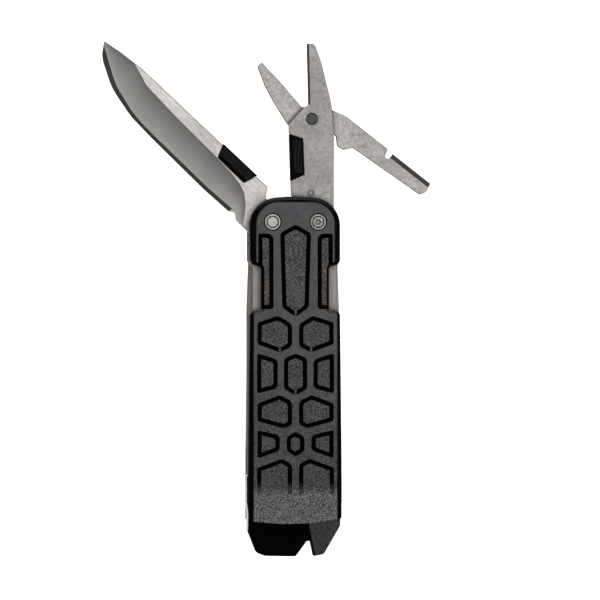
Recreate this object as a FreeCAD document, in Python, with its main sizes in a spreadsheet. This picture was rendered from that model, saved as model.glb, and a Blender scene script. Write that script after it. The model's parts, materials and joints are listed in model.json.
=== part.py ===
import FreeCAD, Part
import math
import os

import Sketcher

# A slim pocket multi tool lying on its back cover.  +X is the user's right, +Y points from the pry bar
# towards the pivots and +Z points out of the front cover.  The origin is on the back cover's outer face,
# on the centreline, half way along the closed handle.  Every length is in millimetres.

DIMENSIONS = {
    # stack through the handle, back to front
    "cover_thick": 2.4,
    "liner_thick": 0.8,
    "washer_gap": 0.15,
    "blade_thick": 2.3,
    "file_thick": 1.9,
    "centre_thick": 0.6,
    "lever_thick": 1.05,
    "scissor_gap": 0.1,
    "plate_thick": 1.15,
    # handle outline
    "half_length": 44.9,
    "head_half_width": 11.2,
    "waist_half_width": 8.4,
    "body_half_width": 11.6,
    "leaf_half_width": 10.4,
    "head_bottom": 28.2,
    "waist_bottom": 16.5,
    "cover_foot_left": -35.7,
    "cover_foot_right": -35.1,
    "cover_bevel": 0.8,
    # honeycomb moulded into both covers
    "groove_width": 1.08,
    "groove_depth": 0.8,
    "island_drop": 0.15,
    # pivots
    "pivot_left": -5.68,
    "pivot_right": 5.68,
    "pivot_height": 38.6,
    "barrel_radius": 1.5,
    "barrel_waist_radius": 1.35,
    "barrel_neck_radius": 1.1,
    "pivot_head_radius": 1.95,
    "pivot_head_thick": 0.8,
    "counterbore_radius": 2.2,
    "counterbore_depth": 0.95,
    "socket_radius": 1.52,
    "socket_depth": 0.35,
    "button_radius": 1.28,
    "button_drop": 0.1,
    "drive_radius": 0.75,
    "drive_depth": 0.45,
    "thread_radius": 0.7,
    "thread_length": 5.0,
    "running_clearance": 0.03,
    "washer_radius": 2.9,
    "washer_thick": 0.13,
    "bush_radius": 2.3,
    # handle fasteners and fillers
    "screw_offset": 7.0,
    "screw_height": -31.5,
    "screw_radius": 1.0,
    "screw_head_radius": 1.9,
    "screw_head_thick": 0.9,
    "screw_reach": 1.5,
    "stop_pin_radius": 0.7,
    "stop_pin_x": -0.2,
    "stop_pin_y": 43.95,
    "ball_radius": 0.44,
    "ball_offset": 6.6,
    "ball_height": 31.0,
    # lock leaves cut into the liners
    "leaf_slot_x": 1.6,
    "leaf_slot_width": 0.5,
    "leaf_top": 33.1,
    "leaf_root": -8.0,
    # pry bar
    "pry_top": -24.4,
    "pry_shoulder": -31.0,
    "pry_half_width": 11.9,
    "pry_wedge_top": -36.8,
    "pry_tip_thick": 1.4,
    # knife
    "knife_open_angle": 46.8,
    "edge_thick": 0.3,
    "grind_offset": 2.7,
    "pad_proud": 0.08,
    "pad_fit": 0.03,
    "rib_width": 0.32,
    "rib_depth": 0.3,
    # scissors
    "scissor_pin_x": -1.25,
    "scissor_pin_y": 25.78,
    "scissor_pin_radius": 1.0,
    "scissor_head_radius": 1.4,
    "scissor_head_thick": 0.5,
    "scissor_head_proud": 0.1,
    "scissor_bevel": 0.5,
    "lever_angle": -34.5,
    "spring_x": -1.5,
    "spring_y": 7.3,
    "spring_rivet_radius": 0.75,
    "spring_leaf": 0.4,
    # folded tools
    "file_tooth_pitch": 1.1,
    "file_tooth_width": 0.45,
    "file_tooth_depth": 0.18,
}

doc = FreeCAD.newDocument("multi_tool")
sheet = doc.addObject("Spreadsheet::Sheet", "sizes")
for row, (alias, number) in enumerate(DIMENSIONS.items(), start=1):
    sheet.set(f"A{row}", alias)
    sheet.set(f"B{row}", str(number))
    sheet.setAlias(f"B{row}", alias)
doc.recompute()


def size(alias):
    """The sheet's value of one driving dimension."""
    return float(getattr(sheet, alias))


def level(*aliases):
    """An expression that adds up sheet cells, such as the stack below a layer."""
    return " + ".join("sizes." + alias for alias in aliases) if aliases else "0"


def value(expression):
    """The number that a sheet expression stands for."""
    found = sheet.evalExpression(expression)
    return float(getattr(found, "Value", found))


LAYER_STACK = [
    ("back_cover", "cover_thick"),
    ("back_liner", "liner_thick"),
    ("back_gap", "washer_gap"),
    ("blade", "blade_thick"),
    ("centre_gap", "washer_gap"),
    ("centre_liner", "centre_thick"),
    ("lever_gap", "washer_gap"),
    ("lever", "lever_thick"),
    ("plate_gap", "scissor_gap"),
    ("plate", "plate_thick"),
    ("front_gap", "washer_gap"),
    ("front_liner", "liner_thick"),
    ("front_cover", "cover_thick"),
]
BASE = {}
stack = []
for layer, thickness in LAYER_STACK:
    BASE[layer] = level(*stack)
    stack.append(thickness)
TOP = level(*stack)


# ---- outlines -------------------------------------------------------------------------------------------


def mirrored(corners):
    """A closed outline from its right half, listed from the top to the bottom of the centreline."""
    left = [(-x, y, radius) for x, y, radius in reversed(corners) if abs(x) > 1e-6]
    return corners + left


def rounded(corners):
    """Lines and tangent arcs round a closed outline of (x, y, corner radius)."""
    count = len(corners)
    points = [FreeCAD.Vector(x, y, 0) for x, y, _ in corners]
    stops = []
    for i, (_, _, radius) in enumerate(corners):
        here = points[i]
        before = (points[i - 1] - here).normalize()
        after = (points[(i + 1) % count] - here).normalize()
        half_turn = (math.pi - before.getAngle(after)) / 2
        if radius <= 0 or half_turn < 1e-3:
            stops.append((here, here, None))
            continue
        reach = radius * math.tan(half_turn)
        inward = (before + after).normalize()
        middle = here + inward * (radius / math.cos(half_turn) - radius)
        stops.append((here + before * reach, here + after * reach, middle))
    edges = []
    for i, (start, end, middle) in enumerate(stops):
        if middle is not None:
            edges.append(Part.Arc(start, middle, end))
        following = stops[(i + 1) % count][0]
        if end.distanceToPoint(following) > 1e-4:
            edges.append(Part.LineSegment(end, following))
    return edges


def inset(corners, width):
    """A convex outline moved inwards by width, its corner radii reduced by as much."""
    count = len(corners)
    points = [FreeCAD.Vector(x, y, 0) for x, y, _ in corners]
    centre = sum(points, FreeCAD.Vector()) * (1.0 / count)
    lines = []
    for i in range(count):
        along = (points[(i + 1) % count] - points[i]).normalize()
        normal = FreeCAD.Vector(-along.y, along.x, 0)
        if normal.dot(centre - points[i]) < 0:
            normal = normal * -1
        lines.append((points[i] + normal * width, along))
    moved = []
    for i in range(count):
        (base_a, along_a), (base_b, along_b) = lines[i - 1], lines[i]
        cross = along_a.x * along_b.y - along_a.y * along_b.x
        gap = base_b - base_a
        step = (gap.x * along_b.y - gap.y * along_b.x) / cross
        corner = base_a + along_a * step
        moved.append((corner.x, corner.y, max(corners[i][2] - width * 0.6, 0.15)))
    return moved


# ---- parametric features --------------------------------------------------------------------------------


def new_body(label, x="0", y="0", z="0", turn=0.0):
    """A body placed by sheet expressions and turned about +Z."""
    body = doc.addObject("PartDesign::Body", label)
    body.Label = label
    body.Placement = FreeCAD.Placement(
        FreeCAD.Vector(), FreeCAD.Rotation(FreeCAD.Vector(0, 0, 1), turn)
    )
    for axis, expression in zip("xyz", (x, y, z)):
        body.setExpression("Placement.Base." + axis, expression)
    return body


def new_sketch(body, name, height="0", outlines=(), circles=(), role="XY_Plane"):
    """A sketch on one of the body's own origin planes; circles are expressions (x, y, radius)."""
    sketch = body.newObject("Sketcher::SketchObject", body.Label + "_" + name)
    plane = next(f for f in body.Origin.OriginFeatures if f.Role == role)
    sketch.AttachmentSupport = [(plane, "")]
    sketch.MapMode = "FlatFace"
    sketch.setExpression("AttachmentOffset.Base.z", height)
    for corners in outlines:
        sketch.addGeometry(rounded(corners), False)
    for i, (x, y, radius) in enumerate(circles):
        centre = FreeCAD.Vector(value(x), value(y), 0)
        circle = Part.Circle(centre, FreeCAD.Vector(0, 0, 1), value(radius))
        drawn = sketch.addGeometry(circle, False)
        bound = (
            ("radius", Sketcher.Constraint("Radius", drawn, value(radius)), radius),
            ("x", Sketcher.Constraint("DistanceX", -1, 1, drawn, 3, centre.x), x),
            ("y", Sketcher.Constraint("DistanceY", -1, 1, drawn, 3, centre.y), y),
        )
        for kind, constraint, expression in bound:
            if kind != "radius" and abs(value(expression)) < 1e-9:
                axis = "PointOnObject"
                line = -2 if kind == "x" else -1
                sketch.addConstraint(Sketcher.Constraint(axis, drawn, 3, line))
                continue
            index = sketch.addConstraint(constraint)
            sketch.renameConstraint(index, f"{kind}{i}")
            sketch.setExpression(f"Constraints.{kind}{i}", expression)
    return sketch


def add(body, name, length, height="0", outlines=(), circles=()):
    """Material from a sketch upwards by an expression's length."""
    pad = body.newObject("PartDesign::Pad", body.Label + "_" + name)
    pad.Profile = new_sketch(body, name + "_sketch", height, outlines, circles)
    pad.setExpression("Length", length)
    doc.recompute()
    return pad


def cut(body, name, depth, height="0", outlines=(), circles=(), upwards=False, role="XY_Plane"):
    """A pocket from a sketch; it goes down from the sketch unless upwards is set."""
    before = body.Shape.Volume
    pocket = body.newObject("PartDesign::Pocket", body.Label + "_" + name)
    pocket.Profile = new_sketch(body, name + "_sketch", height, outlines, circles, role)
    pocket.setExpression("Length", depth)
    if role == "XY_Plane":
        pocket.Reversed = upwards
    else:
        pocket.SideType = "Symmetric"
    doc.recompute()
    if not body.Shape.Volume < before - 1e-4:
        raise RuntimeError(f"{pocket.Name} cuts nothing")
    return pocket


def chamfer(body, name, feature, chosen, width, second=None):
    """A chamfer on the feature's edges that the chosen test picks."""
    edges = [
        f"Edge{i}" for i, edge in enumerate(feature.Shape.Edges, start=1) if chosen(edge)
    ]
    if not edges:
        raise RuntimeError(f"{name} finds no edge")
    bevel = body.newObject("PartDesign::Chamfer", body.Label + "_" + name)
    bevel.Base = (feature, edges)
    bevel.setExpression("Size", width)
    if second:
        bevel.ChamferType = "Two distances"
        bevel.setExpression("Size2", second)
    doc.recompute()
    return bevel


def lies_at(edge, height):
    """Whether a whole edge lies at one height of its body."""
    box = edge.BoundBox
    return abs(box.ZMin - height) < 1e-4 and abs(box.ZMax - height) < 1e-4


def cylinder(label, radius, height, x="0", y="0", z="0"):
    """A Part cylinder whose size and place are sheet expressions."""
    solid = doc.addObject("Part::Cylinder", label)
    solid.setExpression("Radius", radius)
    solid.setExpression("Height", height)
    for axis, expression in zip("xyz", (x, y, z)):
        solid.setExpression("Placement.Base." + axis, expression)
    return solid


def group(label, solids):
    """Separate identical solids that share one node."""
    compound = doc.addObject("Part::Compound", label)
    compound.Label = label
    compound.Links = solids
    doc.recompute()
    return compound


LEFT = "sizes.pivot_left"
RIGHT = "sizes.pivot_right"
HIGH = "sizes.pivot_height"
BARREL_HOLE = level("barrel_radius", "running_clearance")
WAIST_HOLE = level("barrel_waist_radius", "running_clearance")
NECK_HOLE = level("barrel_neck_radius", "running_clearance")
SCREW_HOLE = "sizes.screw_radius + 0.05"
BOTH_SCREWS = [
    ("-sizes.screw_offset", "sizes.screw_height"),
    ("sizes.screw_offset", "sizes.screw_height"),
]


# ---- handle ---------------------------------------------------------------------------------------------


def handle_outline(head, waist, body, foot_left, foot_right, crown=0.0, bow=1.5):
    """The handle seen from the front: round head, waist if it has one, and a body with a bowed foot."""
    top = size("half_length") - crown
    neck = size("head_bottom")
    shoulder = size("waist_bottom")
    if waist:
        notch = [
            (waist, neck - 0.7, 0.9),
            (waist, shoulder + 0.1, 0.7),
            (body - 0.4, shoulder - 0.1, 1.2),
        ]
    else:
        notch = [(body, shoulder, 2.0)]
    right = [(head, top - 0.8, 7.0), (head, neck, 1.5)] + notch + [(body, -20.0, 0.0)]
    left = [(-x, y, radius) for x, y, radius in reversed(right)]
    foot = (foot_left + foot_right) / 2 - bow
    return (
        [(0.0, top + 0.2, 40.0)]
        + right
        + [(body, foot_right, 0.0), (0.8, foot, 60.0), (-body, foot_left, 0.0)]
        + left
    )


def honeycomb():
    """The cells of both covers: outline, whether the groove is bridged at its foot, and the bridge."""
    middle = [
        mirrored([(0.0, 38.0, 1.4), (3.85, 35.8, 1.4), (3.3, 17.3, 1.4), (0.0, 15.0, 0.9)]),
        mirrored([(0.0, 5.9, 1.4), (2.9, 4.7, 1.4), (2.9, -2.9, 1.4), (0.0, -4.5, 0.9)]),
        mirrored([(0.0, -13.5, 1.1), (2.2, -14.8, 1.2), (2.2, -18.3, 1.2), (0.0, -19.8, 1.1)]),
    ]
    side = [
        [(5.5, 35.7, 1.6), (9.3, 35.7, 0.5), (9.3, 16.9, 0.3), (5.5, 16.9, 0.8)],
        [
            (4.3, 15.3, 1.4),
            (9.5, 13.6, 0.7),
            (9.5, 8.2, 0.7),
            (3.9, 6.2, 1.2),
            (0.87, 7.6, 1.6),
            (0.87, 13.2, 1.6),
        ],
        [(4.45, 4.4, 1.4), (9.6, 6.0, 0.5), (9.6, -4.1, 0.5), (4.45, -2.7, 1.3)],
        [
            (3.95, -4.4, 1.4),
            (9.5, -6.5, 0.7),
            (9.5, -10.9, 0.7),
            (2.9, -12.7, 1.6),
            (0.87, -11.8, 1.4),
            (0.87, -6.0, 1.6),
        ],
        [(3.95, -14.4, 1.3), (9.5, -13.1, 0.5), (9.5, -20.2, 0.5), (3.95, -18.2, 1.3)],
        [
            (3.4, -20.2, 1.4),
            (9.6, -22.5, 0.7),
            (9.6, -28.9, 0.3),
            (0.87, -28.9, 0.3),
            (0.87, -21.6, 1.5),
        ],
    ]
    other = [[(-x, y, radius) for x, y, radius in reversed(cell)] for cell in side]
    return middle, side + other


def bridges():
    """Short lands that carry the cells' islands across the groove at their feet."""
    groove = size("groove_width")
    half = 0.28
    feet = [(0.0, 15.2), (0.0, -4.3), (-3.9, 6.45), (3.9, 6.45)]
    lands = [
        [
            (x - half, y - 0.3, 0),
            (x + half, y - 0.3, 0),
            (x + half, y + groove + 0.5, 0),
            (x - half, y + groove + 0.5, 0),
        ]
        for x, y in feet
    ]
    for mark in (-1, 1):
        near = (0.87 + groove) * mark
        far = (9.6 - groove) * mark
        foot = -28.9
        lands.append(
            [
                (near, foot, 0),
                (far, foot, 0),
                (far, foot + groove + 0.3, 0),
                (near, foot + groove + 0.3, 0),
            ]
        )
    return lands


def make_cover(label, front):
    """A moulded cover; its honeycomb is cut from the outer face towards the liner."""
    inner = BASE["front_cover"] if front else level("cover_thick")
    outer = TOP if front else "0"
    face = value(outer)
    body = new_body(label)
    outline = handle_outline(
        size("head_half_width"),
        size("waist_half_width"),
        size("body_half_width"),
        size("cover_foot_left"),
        size("cover_foot_right"),
    )
    left_hole = NECK_HOLE if front else BARREL_HOLE
    holes = [(LEFT, HIGH, left_hole), (RIGHT, HIGH, BARREL_HOLE)]
    if not front:
        holes += [(x, y, SCREW_HOLE) for x, y in BOTH_SCREWS]
    slab = add(body, "slab", "sizes.cover_thick", BASE["front_cover"] if front else "0", [outline], holes)

    def on_rim(edge):
        box = edge.BoundBox
        whole_circle = edge.isClosed()
        on_foot = box.YMax < size("cover_foot_right") + 0.01
        return lies_at(edge, face) and not whole_circle and not on_foot

    chamfer(body, "bevel", slab, on_rim, "sizes.cover_bevel")
    middle, side = honeycomb()
    cells = middle + side
    islands = [inset(cell, size("groove_width")) for cell in cells]
    rings = [outline for pair in zip(cells, islands) for outline in pair]
    sunk = [inset(cell, size("groove_width") / 2) for cell in cells]
    if not front:
        del sunk[1]
    cut(body, "grooves", "sizes.groove_depth", outer, rings, upwards=not front)
    cut(body, "islands", "sizes.island_drop", outer, sunk, upwards=not front)
    land_height = "sizes.groove_depth - sizes.island_drop"
    land_base = f"{TOP} - sizes.groove_depth" if front else "sizes.island_drop"
    add(body, "lands", land_height, land_base, bridges())
    heads = [
        (LEFT, HIGH, "sizes.counterbore_radius"),
        (RIGHT, HIGH, "sizes.counterbore_radius"),
    ]
    cut(body, "counterbores", "sizes.counterbore_depth", outer, [], heads, upwards=not front)
    if front:
        blind = [(x, y, SCREW_HOLE) for x, y in BOTH_SCREWS]
        cut(body, "screw_holes", "sizes.screw_reach + 0.1", inner, [], blind, upwards=True)
    else:
        sinks = [(x, y, "sizes.screw_head_radius + 0.1") for x, y in BOTH_SCREWS]
        cut(body, "screw_sinks", "sizes.screw_head_thick + 0.2", outer, [], sinks, upwards=True)
    return body


def make_liner(label, layer, thickness, waist, holes, leaves=False):
    """A flat steel liner; the outer two carry a lock leaf on each side."""
    body = new_body(label)
    short = layer == "centre_liner"
    foot = size("pry_top") + 0.1 if short else size("cover_foot_right")
    outline = handle_outline(
        size("head_half_width") - 0.1,
        waist,
        size("body_half_width") - 0.1,
        foot,
        foot,
        crown=0.15,
        bow=0.0 if short else 1.5,
    )
    add(body, "plate", thickness, BASE[layer], [outline], holes)
    if leaves:
        near = size("leaf_slot_x")
        far = near + size("leaf_slot_width")
        top = size("leaf_top")
        root = size("leaf_root")
        wide = size("body_half_width") + 1
        slot = [
            (near, root, 0),
            (far, root, 0),
            (far, top, 0),
            (wide, top, 0),
            (wide, top + size("leaf_slot_width"), 0),
            (near, top + size("leaf_slot_width"), 0),
        ]
        other = [(-x, y, radius) for x, y, radius in reversed(slot)]
        cut(body, "leaf_slots", thickness, f"{BASE[layer]} + {thickness}", [slot, other])
    return body


def make_pry_bar():
    """The fixed bar: a thick shank between the liners that tapers to a chisel with a nail notch."""
    body = new_body("pry_bar")
    wide = size("pry_half_width")
    outline = [
        (-wide, size("pry_top"), 0.5),
        (wide, size("pry_top"), 0.5),
        (wide, size("pry_shoulder"), 3.0),
        (11.55, -34.0, 3.0),
        (11.6, -37.2, 1.5),
        (7.6, -44.4, 1.2),
        (4.9, -44.9, 0.5),
        (4.2, -41.0, 0.5),
        (3.2, -41.0, 0.5),
        (0.5, -44.9, 0.8),
        (-7.2, -44.7, 1.5),
        (-9.4, -43.9, 1.5),
        (-11.6, -38.1, 1.5),
        (-11.55, -34.0, 3.0),
        (-wide, size("pry_shoulder"), 3.0),
    ]
    thick = f"{BASE['front_liner']} - ({BASE['back_gap']})"
    holes = [(x, y, SCREW_HOLE) for x, y in BOTH_SCREWS]
    add(body, "bar", thick, BASE["back_gap"], [outline], holes)
    low = value(BASE["back_gap"])
    high = value(BASE["front_liner"])
    middle = (low + high) / 2
    half_tip = size("pry_tip_thick") / 2
    start = size("pry_wedge_top")
    end = -size("half_length")
    for name, face, mark in (("front_taper", high, 1), ("back_taper", low, -1)):
        wedge = [
            (start, face, 0),
            (start, face + mark, 0),
            (end - 1, face + mark, 0),
            (end - 1, middle + mark * half_tip, 0),
            (end, middle + mark * half_tip, 0),
        ]
        cut(body, name, "4 * sizes.pry_half_width", "0", [wedge], role="YZ_Plane")
    return body


def make_pivot_barrel(label, x, stepped):
    """A headed sleeve that the tools turn on; the left one is thinner where the scissor lever passes."""
    body = new_body(label, x, HIGH, "sizes.counterbore_depth - sizes.pivot_head_thick")
    add(body, "head", "sizes.pivot_head_thick", "0", [], [("0", "0", "sizes.pivot_head_radius")])
    foot = "sizes.pivot_head_thick"
    start = "sizes.counterbore_depth"
    reach = f"{TOP} - sizes.counterbore_depth - ({start})"
    if stepped:
        to_lever = f"{BASE['lever_gap']} - ({start})"
        to_plate = f"{BASE['plate_gap']} - ({start})"
        add(body, "shaft", f"{to_lever} + 0.1", f"{foot} - 0.1", [], [("0", "0", "sizes.barrel_radius")])
        add(body, "waist", to_plate, foot, [], [("0", "0", "sizes.barrel_waist_radius")])
        add(body, "neck", reach, foot, [], [("0", "0", "sizes.barrel_neck_radius")])
    else:
        add(body, "shaft", f"{reach} + 0.1", f"{foot} - 0.1", [], [("0", "0", "sizes.barrel_radius")])
    bore = [("0", "0", level("thread_radius", "running_clearance"))]
    cut(body, "bore", "sizes.thread_length + 0.4", f"{foot} + {reach}", [], bore)
    return body


def make_pivot_screw(label, x, driven):
    """The screw that closes a barrel: a button inside a ring, with a drive socket if it has one."""
    seat = f"{TOP} - sizes.counterbore_depth + 0.02"
    body = new_body(label, x, HIGH, seat)
    shank = [("0", "0", "sizes.thread_radius")]
    head = [("0", "0", "sizes.pivot_head_radius")]
    add(body, "shank", "sizes.thread_length + 0.1", "-sizes.thread_length", [], shank)
    add(body, "head", "sizes.pivot_head_thick", "0", [], head)
    button = ("0", "0", "sizes.button_radius")
    gap = [("0", "0", "sizes.socket_radius"), button]
    cut(body, "gap", "sizes.socket_depth", "sizes.pivot_head_thick", [], gap)
    cut(body, "button", "sizes.button_drop", "sizes.pivot_head_thick", [], [button])
    if driven:
        lobes = 6
        radius = size("drive_radius")
        star = []
        for i in range(2 * lobes):
            reach = radius if i % 2 == 0 else radius * 0.72
            angle = math.pi * i / lobes
            star.append((reach * math.cos(angle), reach * math.sin(angle), 0.08))
        cut(body, "drive", "sizes.drive_depth", "sizes.pivot_head_thick", [star])
    return body


def make_washers():
    """Thin rings that space the tools from the liners at both pivots."""
    places = [
        (LEFT, BASE["back_gap"], "barrel_radius"),
        (LEFT, BASE["centre_gap"], "barrel_radius"),
        (LEFT, BASE["front_gap"], "barrel_neck_radius"),
        (RIGHT, BASE["back_gap"], "barrel_radius"),
        (RIGHT, BASE["centre_gap"], "barrel_radius"),
        (RIGHT, BASE["front_gap"], "barrel_radius"),
    ]
    rings = []
    for number, (x, base, inside) in enumerate(places):
        z = f"{base} + (sizes.washer_gap - sizes.washer_thick) / 2"
        disc = cylinder(f"washer_disc{number}", "sizes.washer_radius", "sizes.washer_thick", x, HIGH, z)
        hole = cylinder(
            f"washer_hole{number}", level(inside, "running_clearance"), "sizes.washer_thick", x, HIGH, z
        )
        ring = doc.addObject("Part::Cut", f"washer{number}")
        ring.Base = disc
        ring.Tool = hole
        rings.append(ring)
    return group("pivot_washers", rings)


def make_bush():
    """The spacer under the scissor plate; the folded lever lies beside it."""
    body = new_body("scissor_bush", RIGHT, HIGH, BASE["lever_gap"])
    rings = [("0", "0", "sizes.bush_radius"), ("0", "0", BARREL_HOLE)]
    add(body, "ring", f"{BASE['plate']} - ({BASE['lever_gap']}) - 0.02", "0", [], rings)
    return body


def make_stop_pins():
    """Two short pins pressed into the outer liners; open tools stop against them."""
    back = cylinder(
        "stop_pin_back",
        "sizes.stop_pin_radius",
        f"{BASE['centre_liner']} - ({BASE['back_liner']})",
        "sizes.stop_pin_x",
        "sizes.stop_pin_y",
        BASE["back_liner"],
    )
    front = cylinder(
        "stop_pin_front",
        "sizes.stop_pin_radius",
        f"{BASE['front_cover']} - ({BASE['plate']})",
        "sizes.stop_pin_x",
        "sizes.stop_pin_y",
        BASE["plate"],
    )
    return group("stop_pins", [back, front])


def make_detent_balls():
    """Small balls in the lock leaves that hold the folded tools."""
    balls = []
    back_height = f"{BASE['back_gap']} + 0.1 - sizes.ball_radius"
    front_height = f"{BASE['front_liner']} - 0.1 + sizes.ball_radius"
    places = [
        ("-sizes.ball_offset", back_height),
        ("sizes.ball_offset", back_height),
        ("-sizes.ball_offset", front_height),
        ("sizes.ball_offset", front_height),
    ]
    for number, (x, z) in enumerate(places):
        ball = doc.addObject("Part::Sphere", f"ball{number}")
        ball.setExpression("Radius", "sizes.ball_radius")
        for axis, expression in zip("xyz", (x, "sizes.ball_height", z)):
            ball.setExpression("Placement.Base." + axis, expression)
        balls.append(ball)
    return group("detent_balls", balls)


def make_handle_screws():
    """Two flat headed screws from the back cover through the pry bar into the front cover."""
    screws = []
    for number, (x, y) in enumerate(BOTH_SCREWS):
        head = cylinder(
            f"screw_head{number}", "sizes.screw_head_radius", "sizes.screw_head_thick", x, y, "0.15"
        )
        reach = f"{BASE['front_cover']} + sizes.screw_reach - 0.15"
        shank = cylinder(f"screw_shank{number}", "sizes.screw_radius", reach, x, y, "0.15")
        whole = doc.addObject("Part::Fuse", f"screw_blank{number}")
        whole.Base = head
        whole.Tool = shank
        socket = doc.addObject("Part::Prism", f"screw_socket{number}")
        socket.Polygon = 6
        socket.Circumradius = 0.8
        socket.Height = 0.5
        socket.setExpression("Placement.Base.x", x)
        socket.setExpression("Placement.Base.y", y)
        screw = doc.addObject("Part::Cut", f"screw{number}")
        screw.Base = whole
        screw.Tool = socket
        screws.append(screw)
    return group("handle_screws", screws)


def make_spacer(label, base, top, high, low):
    """A filler block between two liners, on the right of the handle's lower half."""
    body = new_body(label)
    block = [(1.5, high, 1.0), (10.6, high, 1.0), (10.6, low, 1.0), (1.5, low, 1.0)]
    add(body, "block", f"{top} - ({base})", base, [block])
    return body


# ---- tools ----------------------------------------------------------------------------------------------


def pad_ribs(body, start, step, along, count, depth_height, name, upwards):
    """Grooves cut side by side into one face of a grip pad."""
    half = size("rib_width") / 2
    side = FreeCAD.Vector(-along.y, along.x, 0).normalize()
    ribs = []
    for i in range(count):
        base = start + step * i
        far = base + along
        corners = [base + side * half, base - side * half, far - side * half, far + side * half]
        ribs.append([(p.x, p.y, 0.1) for p in corners])
    cut(body, name, "sizes.rib_depth", depth_height, ribs, upwards=upwards)


KNIFE_PAD = [(6.25, 10.4), (6.25, 22.0), (2.73, 20.7), (2.73, 11.6)]


def make_knife():
    """A drop point blade; locally it points along +Y with its edge on the -X side."""
    body = new_body("knife_blade", LEFT, HIGH, BASE["blade"], size("knife_open_angle"))
    fit = size("pad_fit")
    spine = 5.93
    outline = [
        (spine, 6.6, 0.2),
        (spine, KNIFE_PAD[0][1] + 0.07, 0.0),
        (KNIFE_PAD[3][0] - fit, KNIFE_PAD[3][1] - fit, 0.4),
        (KNIFE_PAD[2][0] - fit, KNIFE_PAD[2][1] + fit, 0.4),
        (spine, KNIFE_PAD[1][1] - 0.08, 0.0),
        (spine, 49.5, 20.0),
        (5.3, 55.9, 20.0),
        (4.45, 61.2, 0.15),
        (1.2, 59.1, 8.0),
        (-2.75, 51.8, 15.0),
        (-4.65, 43.6, 20.0),
        (-5.03, 36.0, 20.0),
        (-5.4, 18.0, 0.0),
        (-5.15, 9.6, 0.25),
        (-4.2, 8.2, 0.8),
        (-5.5, 6.6, 0.25),
        (-5.5, 1.5, 2.0),
        (-4.6, -4.7, 4.2),
        (4.5, -4.7, 4.2),
        (4.5, 3.0, 0.8),
        (3.3, 5.0, 0.6),
    ]
    add(body, "blank", "sizes.blade_thick", "0", [outline], [("0", "0", BARREL_HOLE)])
    thick = size("blade_thick")
    grind = size("grind_offset")
    land = (thick - size("edge_thick")) / 2
    far = -7.0
    edge = -5.2
    sink = land * (grind - far) / (grind - edge)
    wedges = [
        ("front_grind", [(grind, thick, 0), (far, thick + 0.5, 0), (far, thick - sink, 0)]),
        ("back_grind", [(grind, 0.0, 0), (far, -0.5, 0), (far, sink, 0)]),
    ]
    heel = 10.2
    tip = 62.5
    for name, wedge in wedges:
        cut(body, name, str(tip - heel), str(-(tip + heel) / 2), [wedge], role="XZ_Plane")
    return body


def make_knife_pad():
    """The ribbed grip pad let into the knife's spine."""
    body = new_body("knife_pad", LEFT, HIGH, BASE["blade"], size("knife_open_angle"))
    outline = [(x, y, 0.1 if x > 4 else 0.35) for x, y in KNIFE_PAD]
    height = "sizes.blade_thick + sizes.pad_proud"
    add(body, "block", "sizes.blade_thick + 2 * sizes.pad_proud", "-sizes.pad_proud", [outline])
    start = FreeCAD.Vector(5.45, 11.2, 0)
    along = FreeCAD.Vector(0, 9.9, 0)
    step = FreeCAD.Vector(-0.72, 0, 0)
    pad_ribs(body, start, step, along, 3, height, "front_ribs", False)
    pad_ribs(body, start, step, along, 3, "-sizes.pad_proud", "back_ribs", True)
    return body


SCISSOR_PAD = [(-7.0, 21.95), (-3.5, 20.85), (-3.15, 11.75), (-6.65, 10.2)]


def make_scissor_plate():
    """The fixed half of the scissors; locally its pivot is the origin and it points along +Y."""
    body = new_body("scissor_plate", RIGHT, HIGH, BASE["plate"])
    fit = size("pad_fit")
    outline = [
        (-1.0, 44.65, 0.5),
        (-0.3, 43.9, 0.8),
        (1.2, 39.7, 12.0),
        (3.75, 29.2, 25.0),
        (4.25, 21.5, 20.0),
        (4.25, -4.2, 4.1),
        (-4.3, -4.2, 4.1),
        (-4.3, 6.0, 0.5),
        (-6.45, 6.55, 0.3),
        (-6.6, 10.185, 0.0),
        (SCISSOR_PAD[2][0] + fit, SCISSOR_PAD[2][1] - fit, 0.4),
        (SCISSOR_PAD[1][0] + fit, SCISSOR_PAD[1][1] + fit, 0.4),
        (-7.02, 21.99, 0.0),
        (-7.1, 24.45, 0.4),
        (-3.35, 28.55, 0.5),
        (-2.15, 29.2, 0.0),
        (-2.55, 44.5, 0.0),
    ]
    holes = [
        ("0", "0", BARREL_HOLE),
        ("sizes.scissor_pin_x", "sizes.scissor_pin_y", "sizes.scissor_pin_radius + 0.02"),
        ("sizes.spring_x", "sizes.spring_y", "sizes.spring_rivet_radius + 0.02"),
    ]
    blank = add(body, "blank", "sizes.plate_thick", "0", [outline], holes)
    top = size("plate_thick")

    def on_cutting_edge(edge):
        box = edge.BoundBox
        return lies_at(edge, top) and box.YMin > 28.9 and box.XMax < -2.0 and box.YLength > 5

    chamfer(body, "edge", blank, on_cutting_edge, "sizes.scissor_bevel")
    seat = [("sizes.scissor_pin_x", "sizes.scissor_pin_y", "sizes.scissor_head_radius + 0.06")]
    cut(body, "pin_seat", "sizes.scissor_head_thick", "sizes.plate_thick", [], seat)
    return body


def make_scissor_pad():
    """The ribbed grip pad let into the scissor plate's left edge."""
    body = new_body("scissor_pad", RIGHT, HIGH, BASE["plate"])
    outline = [(x, y, 0.1 if x < -5 else 0.35) for x, y in SCISSOR_PAD]
    height = "sizes.plate_thick + sizes.pad_proud"
    add(body, "block", "sizes.plate_thick + 2 * sizes.pad_proud", "-sizes.pad_proud", [outline])
    start = FreeCAD.Vector(-4.0, 12.3, 0)
    along = FreeCAD.Vector(-0.25, 8.2, 0)
    step = FreeCAD.Vector(-0.72, 0, 0)
    pad_ribs(body, start, step, along, 3, height, "front_ribs", False)
    pad_ribs(body, start, step, along, 3, "-sizes.pad_proud", "back_ribs", True)
    return body


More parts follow.
